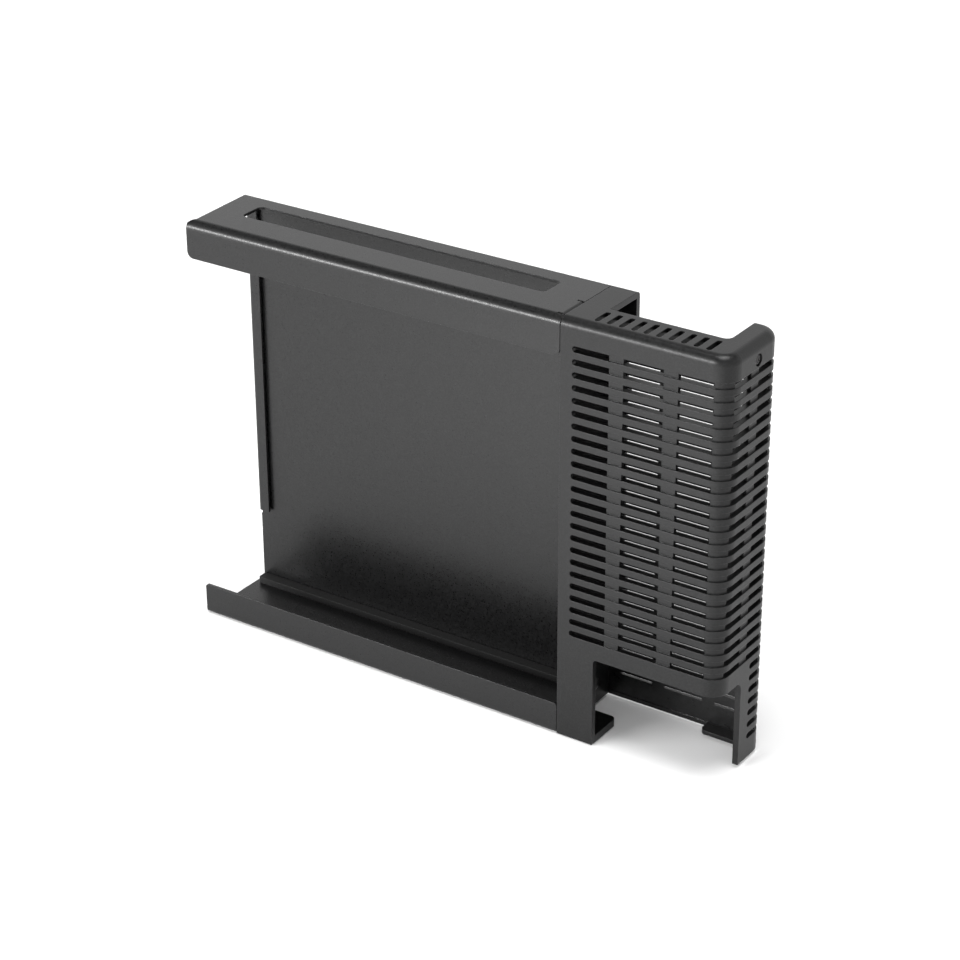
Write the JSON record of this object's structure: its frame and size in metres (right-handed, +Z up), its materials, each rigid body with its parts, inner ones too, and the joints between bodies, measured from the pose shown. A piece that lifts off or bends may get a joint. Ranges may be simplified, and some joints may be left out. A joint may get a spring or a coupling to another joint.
{
  "type": "computer mounting bracket with adapter cage",
  "caption": "Folded steel sleeve that holds a small desktop computer, with a slotted moulded cage on its right for the power adapter.",
  "frame": {"origin": "middle of the bracket's footprint, on the surface it stands on", "axes": "+X along the width from the open side of the sleeve to the cage, +Y from the open front to the flat back, +Z up"},
  "size_m": [0.263, 0.0398, 0.1887],
  "materials": {
    "sleeve_steel": "satin black powder coat",
    "cage_plastic": "fine moulded texture",
    "panel_plastic": "smooth moulded",
    "seat_rubber": "matt",
    "fastener_steel": "black oxide"
  },
  "bodies": {
    "root": {"sleeve": "sleeve_steel", "seat_strip": "seat_rubber", "cage_shell": "cage_plastic", "cage_back": "panel_plastic", "upper_rivet": "fastener_steel", "lower_rivet": "fastener_steel", "side_screw": "fastener_steel", "back_screw_1": "fastener_steel", "back_screw_2": "fastener_steel", "back_screw_3": "fastener_steel", "back_screw_4": "fastener_steel"}
  },
  "joints": []
}
